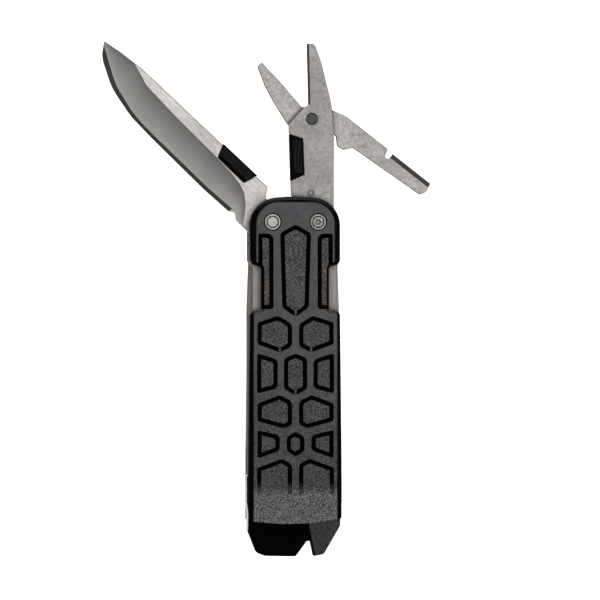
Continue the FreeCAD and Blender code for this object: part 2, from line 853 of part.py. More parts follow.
def make_scissor_pin():
    """The rivet that the lever turns on, its head let into the plate."""
    x = f"{RIGHT} + sizes.scissor_pin_x"
    y = f"{HIGH} + sizes.scissor_pin_y"
    body = new_body("scissor_pin", x, y, BASE["lever"])
    shaft = [("0", "0", "sizes.scissor_pin_radius")]
    head = [("0", "0", "sizes.scissor_head_radius")]
    seat = f"{BASE['front_gap']} - ({BASE['lever']}) - sizes.scissor_head_thick"
    add(body, "shaft", f"{seat} + 0.1", "0", [], shaft)
    add(body, "head", "sizes.scissor_head_thick + sizes.scissor_head_proud", seat, [], head)
    return body


def make_scissor_lever():
    """The moving blade and its thumb lever in one piece; locally the scissor pin is the origin."""
    x = f"{RIGHT} + sizes.scissor_pin_x"
    y = f"{HIGH} + sizes.scissor_pin_y"
    body = new_body("scissor_lever", x, y, BASE["lever"])
    turn = math.radians(size("lever_angle"))

    def on_lever(along, across):
        return (
            along * math.cos(turn) - across * math.sin(turn),
            along * math.sin(turn) + across * math.cos(turn),
        )

    blade = [
        (-5.9, -1.6, 2.0),
        (-9.6, 4.3, 8.0),
        (-11.7, 8.1, 12.0),
        (-13.55, 13.0, 0.4),
        (-12.5, 14.25, 0.5),
        (-7.6, 9.0, 0.0),
        (-2.4, 2.95, 0.9),
        (2.5, 3.5, 2.0),
    ]
    lever = [
        (6.9, 5.55, 2.0),
        (20.1, 4.8, 0.5),
        (20.45, 2.7, 0.4),
        (21.65, 2.7, 0.4),
        (21.75, 4.55, 0.0),
        (33.85, 3.85, 0.0),
        (34.0, 1.2, 0.7),
        (33.1, -0.1, 0.4),
        (12.6, 0.0, 0.6),
        (10.9, -1.8, 0.5),
        (9.2, -1.9, 0.5),
        (7.3, 0.1, 0.8),
        (4.0, -0.6, 2.0),
    ]
    rear = [(-0.6, -3.1, 2.6)]
    outline = blade + [(*on_lever(along, across), radius) for along, across, radius in lever] + rear
    hole = [("0", "0", "sizes.scissor_pin_radius + sizes.running_clearance")]
    blank = add(body, "blank", "sizes.lever_thick", "0", [outline], hole)
    thick = size("lever_thick")
    start = FreeCAD.Vector(*on_lever(21.75, 4.55), 0)
    end = FreeCAD.Vector(*on_lever(33.85, 3.85), 0)

    def on_end_section(edge):
        middle = edge.valueAt((edge.FirstParameter + edge.LastParameter) / 2)
        flat = FreeCAD.Vector(middle.x, middle.y, 0)
        away = flat.distanceToLine(start, end - start)
        return lies_at(edge, thick) and away < 0.05 and edge.Length > 5

    chamfer(body, "hollow", blank, on_end_section, "0.65", "1.25")
    return body


def make_scissor_spring():
    """A leaf from an eye on its rivet up beside the lever's heel, which it pushes open."""
    body = new_body("scissor_spring", RIGHT, HIGH, BASE["lever"])
    eye_x = size("spring_x")
    eye_y = size("spring_y")
    leaf = size("spring_leaf")
    tip_x = 4.0
    tip_y = 18.3
    eye = [
        ("sizes.spring_x", "sizes.spring_y", "sizes.spring_rivet_radius + 0.55"),
        ("sizes.spring_x", "sizes.spring_y", "sizes.spring_rivet_radius + 0.02"),
    ]
    add(body, "eye", "sizes.lever_thick", "0", [], eye)
    blade = [
        (eye_x + 0.8, eye_y + 0.5, 0.1),
        (eye_x + 1.25, eye_y + 0.5, 0.1),
        (eye_x + 1.7, eye_y + 5.2, 8.0),
        (tip_x + leaf / 2, tip_y - 0.2, 0.1),
        (tip_x - leaf / 2, tip_y + 0.2, 0.1),
        (eye_x + 1.25, eye_y + 5.4, 8.0),
    ]
    add(body, "leaf", "sizes.lever_thick", "0", [blade])
    return body


def make_spring_rivet():
    """The flush rivet that holds the spring's eye to the scissor plate."""
    body = new_body("spring_rivet", f"{RIGHT} + sizes.spring_x", f"{HIGH} + sizes.spring_y", BASE["lever"])
    stem = [("0", "0", "sizes.spring_rivet_radius")]
    add(body, "stem", f"{BASE['front_gap']} - ({BASE['lever']})", "0", [], stem)
    cut(body, "dimple", "0.12", f"{BASE['front_gap']} - ({BASE['lever']})", [], [("0", "0", "0.5")])
    return body


def make_opener():
    """A folded cap lifter with a flat driver tip; locally it points along -Y, as it lies in the handle."""
    body = new_body("bottle_opener", LEFT, HIGH, BASE["plate"])
    outline = [
        (-3.9, 3.9, 3.7),
        (3.6, 3.9, 3.5),
        (3.6, -24.0, 0.6),
        (0.6, -25.2, 1.0),
        (-0.4, -28.6, 1.4),
        (0.9, -31.4, 1.0),
        (2.9, -30.6, 0.4),
        (3.6, -33.0, 1.2),
        (2.6, -38.6, 2.0),
        (2.4, -50.0, 0.2),
        (-2.2, -50.0, 0.2),
        (-2.4, -40.0, 3.0),
        (-4.05, -33.0, 6.0),
        (-4.05, -10.0, 0.0),
    ]
    add(body, "blank", "sizes.plate_thick", "0", [outline], [("0", "0", NECK_HOLE)])
    nick = [(-3.2, -20.5, 0.4), (-2.2, -20.5, 0.4), (-2.2, -13.0, 0.4), (-3.2, -13.0, 0.4)]
    cut(body, "nail_nick", "0.4", "sizes.plate_thick", [nick])
    thick = size("plate_thick")
    for name, face, mark in (("front_tip", thick, 1), ("back_tip", 0.0, -1)):
        wedge = [
            (-43.0, face, 0),
            (-43.0, face + mark, 0),
            (-51.0, face + mark, 0),
            (-51.0, face - mark * 0.35, 0),
        ]
        cut(body, name, "12", "0", [wedge], role="YZ_Plane")
    return body


def make_file():
    """A folded file with a chisel tip; locally it points along -Y."""
    body = new_body("file_tool", RIGHT, HIGH, BASE["blade"])
    outline = [
        (-4.4, 4.4, 4.1),
        (4.4, 4.4, 4.1),
        (4.95, -8.0, 4.0),
        (4.95, -48.0, 3.0),
        (3.4, -56.0, 0.3),
        (0.2, -56.0, 0.3),
        (-2.2, -50.0, 3.0),
        (-2.2, -14.0, 3.0),
        (-4.4, -8.0, 3.0),
    ]
    add(body, "blank", "sizes.file_thick", "0", [outline], [("0", "0", BARREL_HOLE)])
    pitch = size("file_tooth_pitch")
    half = size("file_tooth_width") / 2
    first = -17.0
    teeth = []
    slant = 0.9
    for i in range(28):
        y = first - i * pitch
        low = y - half
        high = y + half
        teeth.append([(-1.6, low, 0), (4.3, low + slant, 0), (4.3, high + slant, 0), (-1.6, high, 0)])
    cut(body, "front_teeth", "sizes.file_tooth_depth", "sizes.file_thick", teeth)
    cut(body, "back_teeth", "sizes.file_tooth_depth", "0", teeth, upwards=True)
    nick = [(3.4, -14.5, 0.4), (4.4, -14.5, 0.4), (4.4, -8.5, 0.4), (3.4, -8.5, 0.4)]
    cut(body, "nail_nick", "0.5", "0", [nick], upwards=True)
    return body


def liner_holes(left_radius, stops=True, screws=True, balls=True):
    """The holes that a liner has for the barrels, stop pin, screws and detent balls."""
    holes = [(LEFT, HIGH, left_radius), (RIGHT, HIGH, BARREL_HOLE)]
    if stops:
        holes.append(("sizes.stop_pin_x", "sizes.stop_pin_y", "sizes.stop_pin_radius + 0.01"))
    if screws:
        holes += [(x, y, SCREW_HOLE) for x, y in BOTH_SCREWS]
    if balls:
        holes += [
            ("-sizes.ball_offset", "sizes.ball_height", "sizes.ball_radius + 0.02"),
            ("sizes.ball_offset", "sizes.ball_height", "sizes.ball_radius + 0.02"),
        ]
    return holes


leaf_width = size("leaf_half_width")
PIECES = [
    make_cover("front_cover", True),
    make_cover("back_cover", False),
    make_liner("front_liner", "front_liner", "sizes.liner_thick", leaf_width, liner_holes(NECK_HOLE), True),
    make_liner("back_liner", "back_liner", "sizes.liner_thick", None, liner_holes(BARREL_HOLE), True),
    make_liner(
        "centre_liner",
        "centre_liner",
        "sizes.centre_thick",
        None,
        liner_holes(BARREL_HOLE, False, False, False),
    ),
    make_pry_bar(),
    make_pivot_barrel("left_pivot_barrel", LEFT, True),
    make_pivot_barrel("right_pivot_barrel", RIGHT, False),
    make_pivot_screw("left_pivot_screw", LEFT, False),
    make_pivot_screw("right_pivot_screw", RIGHT, True),
    make_washers(),
    make_bush(),
    make_stop_pins(),
    make_detent_balls(),
    make_handle_screws(),
    make_spacer("front_spacer", BASE["lever_gap"], BASE["front_liner"], -8.5, -23.5),
    make_spacer("back_spacer", BASE["back_gap"], BASE["centre_liner"], -19.5, -23.5),
    make_knife(),
    make_knife_pad(),
    make_scissor_plate(),
    make_scissor_pad(),
    make_scissor_pin(),
    make_scissor_lever(),
    make_scissor_spring(),
    make_spring_rivet(),
    make_opener(),
    make_file(),
]
doc.recompute()

for thing in doc.Objects:
    if any(word in state for state in thing.State for word in ("Invalid", "Error")):
        raise RuntimeError(f"{thing.Name} failed: {thing.State}")
for piece in PIECES:
    if piece.Shape.isNull() or not piece.Shape.isValid():
        raise RuntimeError(f"{piece.Label} has no valid shape")

os.makedirs("parts", exist_ok=True)
for piece in PIECES:
    piece.Shape.exportStep(f"parts/{piece.Label}.step")
    print(f"{piece.Label}: {len(piece.Shape.Solids)} solids, {piece.Shape.Volume:.1f} mm3")
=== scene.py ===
import json
import math

import bmesh
import bpy
from mathutils import Matrix, Vector


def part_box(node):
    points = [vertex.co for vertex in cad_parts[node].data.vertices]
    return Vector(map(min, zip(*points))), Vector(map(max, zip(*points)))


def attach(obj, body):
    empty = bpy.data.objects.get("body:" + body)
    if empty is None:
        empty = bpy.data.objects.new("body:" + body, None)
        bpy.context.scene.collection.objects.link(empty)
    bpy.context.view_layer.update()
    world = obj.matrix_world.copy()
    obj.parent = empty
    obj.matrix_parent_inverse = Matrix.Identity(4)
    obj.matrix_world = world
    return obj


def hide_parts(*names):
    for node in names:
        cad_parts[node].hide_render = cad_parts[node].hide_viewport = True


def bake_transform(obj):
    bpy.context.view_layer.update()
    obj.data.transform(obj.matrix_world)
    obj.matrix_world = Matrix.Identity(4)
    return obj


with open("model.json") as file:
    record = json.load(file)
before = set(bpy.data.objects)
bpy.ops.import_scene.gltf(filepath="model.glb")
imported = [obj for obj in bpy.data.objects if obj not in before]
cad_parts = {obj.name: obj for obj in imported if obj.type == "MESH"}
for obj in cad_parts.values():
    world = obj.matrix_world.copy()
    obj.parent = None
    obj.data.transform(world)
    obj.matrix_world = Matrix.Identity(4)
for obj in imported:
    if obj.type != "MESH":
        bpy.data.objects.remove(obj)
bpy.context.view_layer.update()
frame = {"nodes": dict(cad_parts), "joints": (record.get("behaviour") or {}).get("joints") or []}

MM = 0.001
NODES = frame["nodes"]
JOINTS = {joint["name"]: joint for joint in frame["joints"]}
COVER_LOW, COVER_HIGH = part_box("front_cover")
BACK_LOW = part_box("back_cover")[0]
HEAD_HALF = COVER_HIGH.x - 0.4 * MM         # half the width of a cover's round head
CELLS_FOOT = COVER_LOW.y + 8.0 * MM         # where the honeycomb ends and the plain band at the foot begins
ISLAND_DROP = 0.15 * MM                     # how far a cell's island lies below the net round it
KNIFE_PIVOT = Vector(JOINTS["knife_pivot"]["pos_m"])
KNIFE_TURN = -math.radians(JOINTS["knife_pivot"]["range_deg"][0])

# linear colours
NET_TINT = (0.95, 1.0, 1.1, 1.0)
GRAIN_TINT = (0.99, 1.0, 1.02, 1.0)
WORN_NYLON = (0.06, 0.063, 0.067, 1.0)
# painted shade: the near black for the cover's grooves and rim
PAINTED_SHADE_BLACK = (0.0008, 0.0008, 0.001, 1.0)
RUBBER_BLACK = (0.0005, 0.0005, 0.0005, 1.0)
# painted highlight on the rubber's rib edges
RUBBER_RIB_HIGHLIGHT = (0.07, 0.066, 0.062, 1.0)
DARK_BRONZE = (0.5, 0.3, 0.13, 1.0)
LIGHT_BRONZE = (0.66, 0.42, 0.2, 1.0)
SKY_COLOUR = (1.0, 0.985, 0.965, 1.0)
WHITE = (1.0, 1.0, 1.0, 1.0)

# the ground blade, with the pivot as its origin, the tip towards +Y and the edge towards -X
BLADE_HOLE = 1.53 * MM
HEEL = 9.4 * MM                             # where the edge bevel begins, next to the pivot
GRIND_FOOT = 4.6 * MM                       # where the hollow grind widens out
HOLLOW_STEPS = 9                            # columns from the edge bevel to the grind line
HOLE_COLUMN = 1 + HOLLOW_STEPS              # the column on the near side of the pivot hole

# (x, y) in mm, where the hollow grind meets the flat
GRIND_LINE = [
    (-5.4, 4.6),
    (-3.0, 6.0),
    (-1.0, 7.6),
    (0.9, 9.9),
    (1.7, 12.0),
    (2.2, 15.0),
    (2.65, 21.8),
    (3.0, 35.4),
    (3.6, 45.8),
    (5.5, 51.6),
    (6.2, 54.0),
    (6.2, 62.0),
]

# (width, y) in mm of the fine edge bevel
EDGE_BEVEL = [(1.05, 9.0), (0.95, 28.0), (0.85, 40.0), (1.2, 50.0), (1.5, 56.0), (1.6, 59.5), (0.1, 61.2)]


# ---- material helpers -----------------------------------------------------------------------------------


class Shader:
    """One node material, with short calls for the nodes that the finishes share."""

    def __init__(self, name, **sockets):
        self.material = bpy.data.materials.new(name)
        self.material.use_nodes = True
        self.tree = self.material.node_tree
        self.surface = self.tree.nodes["Principled BSDF"]
        for socket, value in sockets.items():
            self.set(socket.replace("_", " "), value)
        self.place = self.node("ShaderNodeTexCoord").outputs["Object"]

    def node(self, kind, **settings):
        """A new node with its settings."""
        made = self.tree.nodes.new(kind)
        for key, value in settings.items():
            setattr(made, key, value)
        return made

    def link(self, source, target):
        """Joins a node output to a socket."""
        self.tree.links.new(source, target)

    def feed(self, target, value):
        """Plugs a node output into a socket, or sets a plain number on it."""
        if isinstance(value, bpy.types.NodeSocket):
            self.link(value, target)
        else:
            target.default_value = value

    def set(self, socket, value):
        """Feeds one of the surface's own sockets."""
        self.feed(self.surface.inputs[socket], value)

    def part(self, vector, axis):
        """One part of a vector."""
        split = self.node("ShaderNodeSeparateXYZ")
        self.link(vector, split.inputs[0])
        return split.outputs[axis]

    def axis(self, name):
        """One object coordinate, in metres."""
        return self.part(self.place, name)

    def facing(self, axis, kind="Normal"):
        """One part of the surface normal; the true normal is that of the unsmoothed face."""
        return self.part(self.node("ShaderNodeNewGeometry").outputs[kind], axis)

    def scaled(self, scale, turn, shift):
        """Object coordinates, turned about Z, then scaled and shifted."""
        turned = self.node("ShaderNodeMapping", vector_type="POINT")
        self.link(self.place, turned.inputs["Vector"])
        turned.inputs["Rotation"].default_value = (0.0, 0.0, turn)
        stretched = self.node("ShaderNodeVectorMath", operation="MULTIPLY")
        self.link(turned.outputs["Vector"], stretched.inputs[0])
        stretched.inputs[1].default_value = scale if hasattr(scale, "__len__") else (scale,) * 3
        moved = self.node("ShaderNodeVectorMath", operation="ADD")
        self.link(stretched.outputs["Vector"], moved.inputs[0])
        moved.inputs[1].default_value = shift
        return moved.outputs["Vector"]

    def noise(self, scale, turn=0.0, detail=2.0, roughness=0.5, shift=(0.0, 0.0, 0.0)):
        """Noise of about 0 to 1; scale is features per metre, along X, Y and Z after the turn."""
        made = self.node("ShaderNodeTexNoise")
        self.link(self.scaled(scale, turn, shift), made.inputs["Vector"])
        made.inputs["Scale"].default_value = 1.0
        made.inputs["Detail"].default_value = detail
        made.inputs["Roughness"].default_value = roughness
        return made.outputs["Fac"]

    def ramp(self, value, low, high, out_low=0.0, out_high=1.0, smooth=False):
        """Maps low..high onto out_low..out_high, clamped."""
        mapped = self.node("ShaderNodeMapRange", clamp=True)
        if smooth:
            mapped.interpolation_type = "SMOOTHSTEP"
        self.feed(mapped.inputs["Value"], value)
        mapped.inputs["From Min"].default_value = low
        mapped.inputs["From Max"].default_value = high
        mapped.inputs["To Min"].default_value = out_low
        mapped.inputs["To Max"].default_value = out_high
        return mapped.outputs["Result"]

    def vary(self, noise, low, high):
        """A number that follows a noise from low to high."""
        return self.ramp(noise, 0.3, 0.7, low, high)

    def between(self, amount, first, second):
        """A number that goes from first to second as an amount goes from 0 to 1."""
        return self.ramp(amount, 0.0, 1.0, first, second)

    def maths(self, operation, first, second=0.0):
        """One operation on one or two numbers or outputs."""
        made = self.node("ShaderNodeMath", operation=operation)
        self.feed(made.inputs[0], first)
        self.feed(made.inputs[1], second)
        return made.outputs[0]

    def product(self, *values):
        """Numbers or outputs multiplied together."""
        result = values[0]
        for value in values[1:]:
            result = self.maths("MULTIPLY", result, value)
        return result

    def largest(self, *values):
        """The largest of some numbers or outputs."""
        result = values[0]
        for value in values[1:]:
            result = self.maths("MAXIMUM", result, value)
        return result

    def mix(self, amount, first, second):
        """Two colours or outputs mixed by an amount of 0 to 1."""
        made = self.node("ShaderNodeMix", data_type="RGBA")
        self.feed(made.inputs["Factor"], amount)
        self.feed(made.inputs["A"], first)
        self.feed(made.inputs["B"], second)
        return made.outputs["Result"]

    def times(self, colour, amount):
        """A colour multiplied by an amount or by another colour."""
        made = self.node("ShaderNodeMix", data_type="RGBA", blend_type="MULTIPLY")
        made.inputs["Factor"].default_value = 1.0
        self.feed(made.inputs["A"], colour)
        self.feed(made.inputs["B"], amount)
        return made.outputs["Result"]

    def shade(self, distance, darkest):
        """1 in the open, falling to the darkest value where other pieces crowd the surface."""
        made = self.node("ShaderNodeAmbientOcclusion", samples=8)
        made.inputs["Distance"].default_value = distance
        return self.ramp(made.outputs["AO"], 0.35, 0.95, darkest, 1.0)

    def edges(self, radius, flat_limit=0.995, sharp_limit=0.90):
        """1 on edges sharper than the radius and 0 on flats."""
        rounded = self.node("ShaderNodeBevel", samples=6)
        rounded.inputs["Radius"].default_value = radius
        flat = self.node("ShaderNodeNewGeometry")
        dot = self.node("ShaderNodeVectorMath", operation="DOT_PRODUCT")
        self.link(rounded.outputs["Normal"], dot.inputs[0])
        self.link(flat.outputs["Normal"], dot.inputs[1])
        return self.ramp(dot.outputs["Value"], flat_limit, sharp_limit)

    def bump(self, *layers):
        """Stacks bump layers of (height, distance in metres, strength)."""
        normal = None
        for height, distance, strength in layers:
            made = self.node("ShaderNodeBump")
            made.inputs["Distance"].default_value = distance
            made.inputs["Strength"].default_value = strength
            self.link(height, made.inputs["Height"])
            if normal is not None:
                self.link(normal, made.inputs["Normal"])
            normal = made.outputs["Normal"]
        self.set("Normal", normal)


def grey(level, warmth=0.0):
    """A linear grey, a little redder and less blue as warmth rises."""
    return (level * (1 + warmth), level, level * (1 - warmth), 1.0)


# ---- finishes -------------------------------------------------------------------------------------------


def shaded_rim_mask(look):
    """1 on a cover's rolled rim, painted black as shade: a band inside the round head's outline and down
    both sides, halved by painted light where it faces the head.
    """
    corner = 7.0 * MM
    rim_inner = corner - 1.7 * MM
    rim_outer = corner - 1.25 * MM
    shoulder_top = 17.0 * MM
    shoulder_foot = 16.0 * MM
    body_extra = COVER_HIGH.x - HEAD_HALF + 0.25 * MM
    across = look.maths("ABSOLUTE", look.axis("X"))
    corner_x = look.maths("MAXIMUM", look.maths("SUBTRACT", across, HEAD_HALF - corner), 0.0)
    corner_y = look.maths("MAXIMUM", look.maths("SUBTRACT", look.axis("Y"), COVER_HIGH.y - corner), 0.0)
    squared = look.maths("ADD", look.maths("POWER", corner_x, 2.0), look.maths("POWER", corner_y, 2.0))
    widening = look.ramp(look.axis("Y"), shoulder_top, shoulder_foot, 0.0, body_extra)
    reach = look.maths("SUBTRACT", look.maths("SQRT", squared), widening)
    inside = look.ramp(reach, rim_inner, rim_outer, smooth=True)
    # painted light: the rim's painted shade is halved where it faces the head
    lit_top = look.product(look.ramp(look.facing("Y"), 0.3, 0.7), 0.5)
    return look.product(inside, look.maths("SUBTRACT", 1.0, lit_top))


def groove_shade_mask(look, depth, height, in_shaded_rim):
    """1 in a cover's grooves, painted black as shade; less on the walls that face the head, as painted
    light, fading out towards the foot.
    """
    below_islands = look.ramp(depth, 1.05 * ISLAND_DROP, 1.9 * ISLAND_DROP, smooth=True)
    slanted = look.ramp(look.maths("ABSOLUTE", look.facing("Z")), 0.97, 0.85)
    foot_fade = look.ramp(height, CELLS_FOOT, CELLS_FOOT + 2.6 * MM, smooth=True)
    # painted light: walls that face the head keep less of the painted shade
    lit_wall = look.product(look.ramp(look.facing("Y"), 0.2, 0.6), look.between(in_shaded_rim, 0.8, 0.0))
    return look.product(look.largest(below_islands, slanted), look.maths("SUBTRACT", foot_fade, lit_wall))


def cover_finish(name, outer, inwards):
    """Moulded nylon: smooth net, coarse islands, grooves and rim painted black as shade, and a speckled
    band at the foot.
    """
    look = Shader(name)
    depth = look.product(look.maths("SUBTRACT", look.axis("Z"), outer), inwards)
    height = look.axis("Y")
    fine = look.noise(5600.0, detail=3.0)
    grain = look.noise(5000.0, shift=(3.1, 1.7, 0.4))
    broad = look.noise(260.0, shift=(7.0, 2.0, 1.0))

    in_shaded_rim = shaded_rim_mask(look)
    # painted shade: near black in the grooves and on the rim
    painted_shade = look.between(look.largest(groove_shade_mask(look, depth, height, in_shaded_rim), in_shaded_rim), 0.0, 1.0)
    on_island = look.ramp(depth, 0.3 * ISLAND_DROP, 0.7 * ISLAND_DROP)
    on_band = look.ramp(height, CELLS_FOOT + 1.0 * MM, CELLS_FOOT - 0.6 * MM, smooth=True)
    coarse_net = look.ramp(height, 10.0 * MM, -14.0 * MM, 0.1, 0.8, smooth=True)
    speckled = look.largest(on_island, on_band, coarse_net)

    net_tone = look.ramp(fine, 0.36, 0.64, 0.012, 0.046)
    grain_tone = look.ramp(grain, 0.42, 0.58, 0.001, 0.06)
    lift = look.maths("ADD", look.between(on_band, 1.0, 2.1), look.vary(broad, -0.15, 0.15))
    lift = look.product(lift, look.ramp(height, -25.0 * MM, 25.0 * MM, 0.8, 1.05))
    tone = look.times(look.mix(speckled, net_tone, grain_tone), lift)
    tinted = look.times(tone, look.mix(speckled, NET_TINT, GRAIN_TINT))
    scuffed = look.ramp(broad, 0.4, 0.7, 0.0, 0.3)
    near_outside = look.ramp(depth, 2.0 * ISLAND_DROP, 0.0)
    worn = look.product(look.edges(0.12 * MM), scuffed, near_outside)
    look.set("Base Color", look.mix(painted_shade, look.mix(worn, tinted, WORN_NYLON), PAINTED_SHADE_BLACK))

    look.set("Roughness", look.mix(speckled, look.vary(fine, 0.42, 0.55), look.vary(grain, 0.75, 0.55)))
    gloss = look.between(speckled, 0.22, 0.11)
    # painted shade also turns down the specular in the grooves and on the rim
    look.set("Specular IOR Level", look.product(gloss, look.between(painted_shade, 1.0, 0.04)))
    grain_height = look.product(grain, look.between(speckled, 0.1, 1.0))
    look.bump((grain_height, 0.12 * MM, 0.7), (fine, 0.03 * MM, 0.5))
    return look.material


def steel_finish(name, tone, brush_turn=None, tumbled=0.5, crowd=0.3, side=0.16, rim=0.28, warmth=0.02):
    """Satin steel: brushed or tumbled, with painted shade on its bevels, along its edges and where other
    pieces crowd it, and a painted tone on its upright sides: painted light above the face's tone, painted
    shade below it.
    """
    look = Shader(name)
    mottle = look.noise(1100.0, detail=4.0, roughness=0.65)
    pits = look.noise(3200.0, shift=(5.0, 1.0, 2.0))
    broad = look.noise(110.0, shift=(2.0, 8.0, 1.0))
    light = look.product(
        look.vary(mottle, 1.0 - 0.2 * tumbled, 1.0 + 0.14 * tumbled),
        look.vary(pits, 1.0 - 0.14 * tumbled, 1.0 + 0.1 * tumbled),
        look.vary(broad, 0.86, 1.1),
    )
    heights = [(mottle, 0.012 * MM, 0.4 * tumbled), (pits, 0.01 * MM, 0.35 * tumbled)]
    if brush_turn is not None:
        brush = look.noise((4500.0, 160.0, 4500.0), -brush_turn, detail=3.0, roughness=0.7)
        light = look.product(light, look.ramp(brush, 0.32, 0.68, 0.8, 1.12))
        heights.append((brush, 0.01 * MM, 0.45))
    light = look.product(light, look.shade(1.6 * MM, crowd))

    lying = look.maths("ABSOLUTE", look.facing("Z", "True Normal"))
    on_side = look.ramp(lying, 0.3, 0.1)
    # painted shade: bevels turn a near-black non-metal
    on_bevel = look.maths("SUBTRACT", look.ramp(lying, 0.975, 0.93), on_side)
    # painted shade: faces darken towards their sharp edges, as dark outlines
    painted_edge_shade = look.between(look.edges(rim * MM, 0.9985, 0.965), 1.0, 0.3)
    face_colour = look.times(look.times(grey(tone, warmth), light), painted_edge_shade)
    # painted tone on the upright sides: lighter than the face is painted light, darker is painted shade
    painted_side_colour = look.times(grey(side, 0.03), light)
    painted_bevel_shade = grey(0.02, 0.03)
    steel = look.mix(look.between(on_side, 0.0, 0.9), face_colour, painted_side_colour)
    look.set("Base Color", look.mix(on_bevel, steel, painted_bevel_shade))
    look.set("Metallic", look.maths("SUBTRACT", 1.0, on_bevel))
    look.set("Specular IOR Level", 0.15)
    look.set("Roughness", look.ramp(mottle, 0.25, 0.75, 0.31, 0.45))
    look.bump(*heights)
    return look.material


def grind_finish(name, tone, turn, hollow):
    """A ground face with scratches across the blade; on a hollow grind, painted shade darkens it away from
    the edge.
    """
    look = Shader(name, Metallic=1.0)
    scratch = look.noise((420.0, 9000.0, 9000.0), -turn, detail=3.0, roughness=0.7)
    broad = look.noise(160.0, detail=3.0)
    light = look.product(look.vary(scratch, 0.93, 1.06), look.vary(broad, 0.94, 1.05))
    if hollow:
        # painted shade: the hollow grind darkens away from the edge
        towards_edge = look.part(look.node("ShaderNodeTexCoord").outputs["UV"], "X")
        light = look.product(light, look.between(towards_edge, 0.42, 1.05))
    look.set("Base Color", look.times(grey(tone, 0.02), light))
    look.set("Roughness", look.vary(scratch, 0.3, 0.4))
    look.bump((scratch, 0.012 * MM, 0.4), (broad, 0.02 * MM, 0.2))
    return look.material


def black_steel_finish(name, tone, gloss, brush_turn=0.0, wear=0.5):
    """Blackened steel with faint brushing and bare steel showing on its edges."""
    look = Shader(name)
    brush = look.noise((9000.0, 420.0, 9000.0), -brush_turn, detail=3.0, roughness=0.7)
    broad = look.noise(300.0, detail=3.0, shift=(4.0, 2.0, 0.0))
    light = look.ramp(brush, 0.36, 0.66, 0.2, 2.2)
    worn = look.product(look.edges(0.1 * MM), look.ramp(broad, 0.45, 0.7, 0.0, wear))
    bare_steel = grey(0.16)
    look.set("Base Color", look.mix(worn, look.times(grey(tone), light), bare_steel))
    look.set("Roughness", look.vary(broad, 0.4, 0.55))
    look.set("Specular IOR Level", look.product(light, gloss))
    look.bump((brush, 0.02 * MM, 0.6), (broad, 0.01 * MM, 0.3))
    return look.material


def grip_finish(name):
    """Black overmoulded rubber with painted highlights along its ribs."""
    look = Shader(name)
    fine = look.noise(7000.0, detail=3.0)
    # painted highlight: rib edges turn a lighter grey
    rib_highlight = look.product(look.edges(0.12 * MM), look.vary(fine, 0.35, 1.0))
    look.set("Base Color", look.mix(rib_highlight, RUBBER_BLACK, RUBBER_RIB_HIGHLIGHT))
    look.set("Specular IOR Level", look.vary(fine, 0.0, 0.03))
    look.set("Roughness", look.vary(fine, 0.45, 0.62))
    look.bump((fine, 0.02 * MM, 0.5))
    return look.material


def bronze_finish(name):
    """Rolled bronze strip with faint lines."""
    look = Shader(name, Metallic=1.0)
    lines = look.noise((6000.0, 300.0, 6000.0))
    look.set("Base Color", look.mix(look.vary(lines, 0.0, 1.0), DARK_BRONZE, LIGHT_BRONZE))
    look.set("Roughness", look.vary(lines, 0.28, 0.42))
    look.bump((lines, 0.008 * MM, 0.4))
    return look.material


# ---- mesh helpers ---------------------------------------------------------------------------------------


def round_edges(piece, width, angle):
    """Bevels a piece's edges that are sharper than an angle in degrees."""
    bevel = piece.modifiers.new("bevel", "BEVEL")
    bevel.width = width
    bevel.segments = 2
    bevel.limit_method = "ANGLE"
    bevel.angle_limit = math.radians(angle)
    return bevel


def soften(node, width):
    """Rounds a CAD node's sharp edges with modifiers; its mesh keeps its shape and is shaded smooth."""
    piece = NODES[node]
    weld = piece.modifiers.new("weld", "WELD")
    weld.merge_threshold = 0.0005 * MM
    flatten = piece.modifiers.new("flatten", "DECIMATE")
    flatten.decimate_type = "DISSOLVE"
    flatten.angle_limit = math.radians(0.5)
    bevel = round_edges(piece, width, 28.0)
    bevel.harden_normals = False
    shade = piece.modifiers.new("normals", "WEIGHTED_NORMAL")
    shade.keep_sharp = True
    for polygon in piece.data.polygons:
        polygon.use_smooth = True


def dress(node, material):
    """Gives a CAD node its finish."""
    slots = NODES[node].data.materials
    slots.clear()
    slots.append(material)


def node_mesh(node, turn=0.0, about=Vector()):
    """A copy of a node's mesh as bmesh, turned back about +Z round a point, which becomes its origin."""
    work = bmesh.new()
    work.from_mesh(NODES[node].data)
    bmesh.ops.remove_doubles(work, verts=work.verts, dist=0.0005 * MM)
    bmesh.ops.translate(work, verts=work.verts, vec=-about)
    bmesh.ops.rotate(work, verts=work.verts, matrix=Matrix.Rotation(-turn, 3, "Z"))
    return work


def cut_through(work, place, normal):
    """Splits the faces of a bmesh along a plane."""
    geometry = work.verts[:] + work.edges[:] + work.faces[:]
    bmesh.ops.bisect_plane(work, geom=geometry, dist=0.001 * MM, plane_co=place, plane_no=normal)


def finish_piece(name, work, materials, node, turn=0.0, about=Vector()):
    """Turns a bmesh back into place as a piece that stands for a node."""
    smooth_angle = math.radians(30.0)
    bmesh.ops.rotate(work, verts=work.verts, matrix=Matrix.Rotation(turn, 3, "Z"))
    bmesh.ops.translate(work, verts=work.verts, vec=about)
    bmesh.ops.recalc_face_normals(work, faces=work.faces)
    for face in work.faces:
        face.smooth = True
    for edge in work.edges:
        sharp = len(edge.link_faces) == 2 and edge.calc_face_angle(0.0) > smooth_angle
        edge.smooth = not sharp
    mesh = bpy.data.meshes.new(name)
    work.to_mesh(mesh)
    work.free()
    for material in materials:
        mesh.materials.append(material)
    piece = bpy.data.objects.new(name, mesh)
    bpy.context.scene.collection.objects.link(piece)
    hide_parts(node)
    return piece


def spread(start, end, count):
    """Evenly spaced numbers, both ends included."""
    return [start + (end - start) * i / (count - 1) for i in range(count)]


